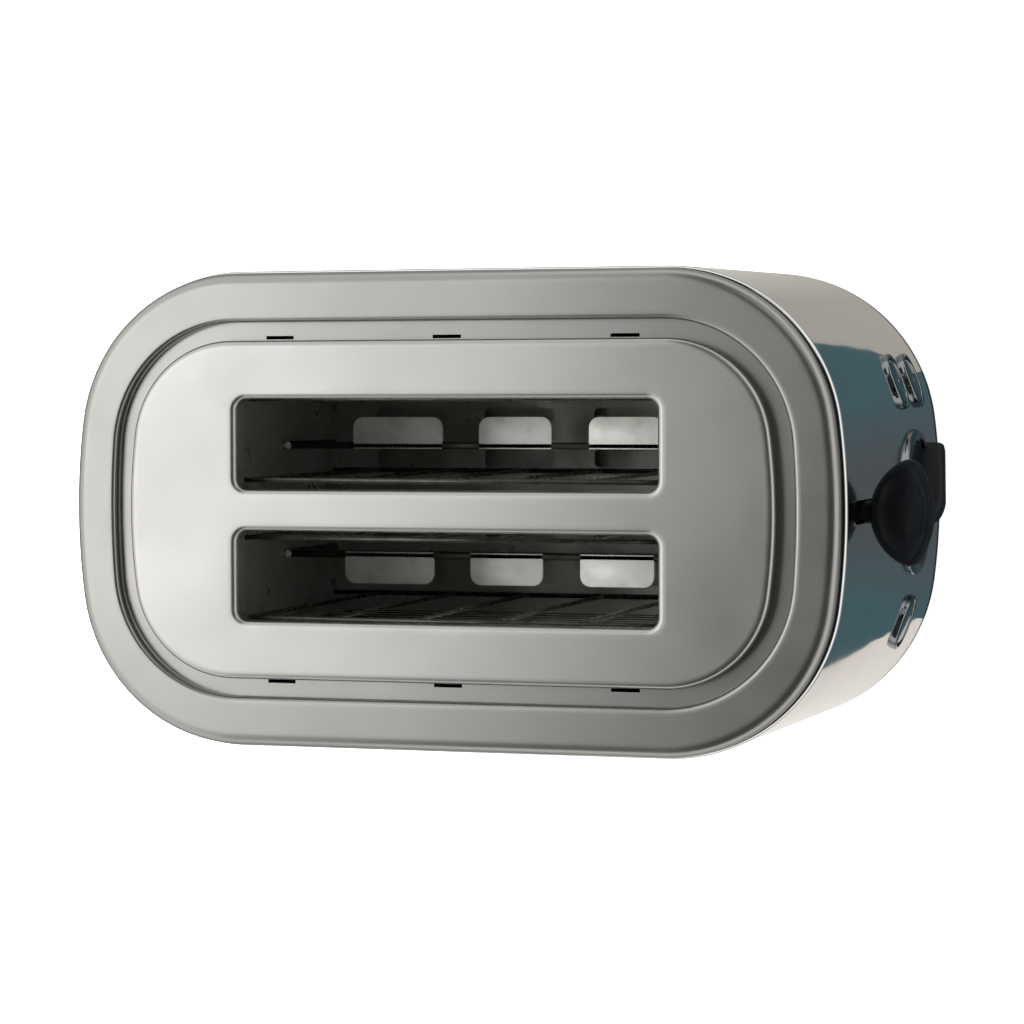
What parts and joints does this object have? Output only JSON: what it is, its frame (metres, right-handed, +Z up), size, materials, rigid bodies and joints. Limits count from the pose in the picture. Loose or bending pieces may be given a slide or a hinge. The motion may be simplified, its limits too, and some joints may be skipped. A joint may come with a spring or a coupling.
{
  "type": "toaster",
  "caption": "Toaster for two slices with a polished wrap-round casing, lever, browning dial, push buttons, bread guards and crumb tray.",
  "frame": {"origin": "on the table under the middle of the whole length, lever and tray lip included", "axes": "+X towards the lever and dial, +Z up"},
  "size_m": [0.3075, 0.1696, 0.184],
  "materials": {
    "polished_steel": "polished",
    "satin_steel": "satin",
    "chrome": "polished",
    "black_plastic": "fine satin",
    "sheet_steel": "plain rolled",
    "dark_steel": "heat darkened",
    "spring_steel": "plain",
    "nylon": "moulded",
    "magnet": "varnished winding",
    "board": "lacquered",
    "rubber": "matt",
    "mica": "flaky",
    "ribbon": "resistance ribbon",
    "wire": "drawn wire"
  },
  "bodies": {
    "casing": {"base_plate": "black_plastic", "base_ring": "chrome", "base_screws": "spring_steel", "base_skirt": "black_plastic", "board_posts": "black_plastic", "button_bezel_1": "chrome", "button_bezel_2": "chrome", "button_bezel_3": "chrome", "button_switch_1": "black_plastic", "button_switch_2": "black_plastic", "button_switch_3": "black_plastic", "circuit_board": "board", "cord_inlet": "black_plastic", "dial_bezel": "chrome", "dial_control": "nylon", "electromagnet": "magnet", "element_board_back": "mica", "element_board_front": "mica", "element_board_middle": "mica", "element_ribbon_back": "ribbon", "element_ribbon_front": "ribbon", "element_ribbon_middle": "ribbon", "floor_plate": "sheet_steel", "foot_1": "rubber", "foot_2": "rubber", "foot_3": "rubber", "foot_4": "rubber", "front_frame": "sheet_steel", "guide_rod": "chrome", "rear_frame": "sheet_steel", "return_spring": "spring_steel", "side_reflector_1": "sheet_steel", "side_reflector_2": "sheet_steel", "terminal_block": "nylon", "top_plate": "satin_steel", "top_rim": "satin_steel", "top_seal": "black_plastic", "wrap_back": "polished_steel", "wrap_control_end": "polished_steel", "wrap_front": "polished_steel", "wrap_rear_end": "polished_steel"},
    "lever": {"carriage": "sheet_steel", "carriage_bush": "nylon", "lever_arm": "dark_steel", "lever_knob": "black_plastic", "lifter_1": "dark_steel", "lifter_2": "dark_steel", "armature": "sheet_steel"},
    "dial": {"dial_knob": "black_plastic", "dial_shaft": "spring_steel"},
    "button_a": {"button_1": "chrome"},
    "button_b": {"button_2": "chrome"},
    "button_c": {"button_3": "chrome"},
    "tray": {"crumb_tray": "sheet_steel", "tray_handle": "polished_steel"},
    "guard_back_outer": {"guard_back_outer": "wire"},
    "guard_back_inner": {"guard_back_inner": "wire"},
    "guard_front_inner": {"guard_front_inner": "wire"},
    "guard_front_outer": {"guard_front_outer": "wire"}
  },
  "joints": [
    {"name": "lever_slide", "type": "slide", "parent": "casing", "child": "lever", "axis": [0, 0, -1], "range_m": [0, 0.048], "stiffness_N_per_m": 160, "springref_m": -0.03, "deforming": ["return_spring"]},
    {"name": "dial_turn", "type": "hinge", "parent": "casing", "child": "dial", "pos_m": [0.13128, 0, 0.055], "axis": [1, 0, 0], "range_deg": [-10, 260]},
    {"name": "button_a_press", "type": "slide", "parent": "casing", "child": "button_a", "axis": [-0.9407, -0.3393, 0], "range_m": [0, 0.0015], "stiffness_N_per_m": 400, "springref_m": -0.002},
    {"name": "button_b_press", "type": "slide", "parent": "casing", "child": "button_b", "axis": [-0.9388, -0.3445, 0], "range_m": [0, 0.0015], "stiffness_N_per_m": 400, "springref_m": -0.002},
    {"name": "button_c_press", "type": "slide", "parent": "casing", "child": "button_c", "axis": [-0.9394, 0.3427, 0], "range_m": [0, 0.0015], "stiffness_N_per_m": 400, "springref_m": -0.002},
    {"name": "tray_slide", "type": "slide", "parent": "casing", "child": "tray", "axis": [-1, 0, 0], "range_m": [0, 0.2]},
    {"name": "guard_back_outer_slide", "type": "slide", "parent": "casing", "child": "guard_back_outer", "axis": [0, -1, 0], "range_m": [0, 0.0045]},
    {"name": "guard_back_inner_slide", "type": "slide", "parent": "casing", "child": "guard_back_inner", "axis": [0, 1, 0], "range_m": [0, 0.0045]},
    {"name": "guard_front_inner_slide", "type": "slide", "parent": "casing", "child": "guard_front_inner", "axis": [0, -1, 0], "range_m": [0, 0.0045]},
    {"name": "guard_front_outer_slide", "type": "slide", "parent": "casing", "child": "guard_front_outer", "axis": [0, 1, 0], "range_m": [0, 0.0045]}
  ],
  "couplings": [
    {"joint": "guard_back_outer_slide", "follows": "lever_slide", "ratio": 0.09375},
    {"joint": "guard_back_inner_slide", "follows": "lever_slide", "ratio": 0.09375},
    {"joint": "guard_front_inner_slide", "follows": "lever_slide", "ratio": 0.09375},
    {"joint": "guard_front_outer_slide", "follows": "lever_slide", "ratio": 0.09375}
  ]
}
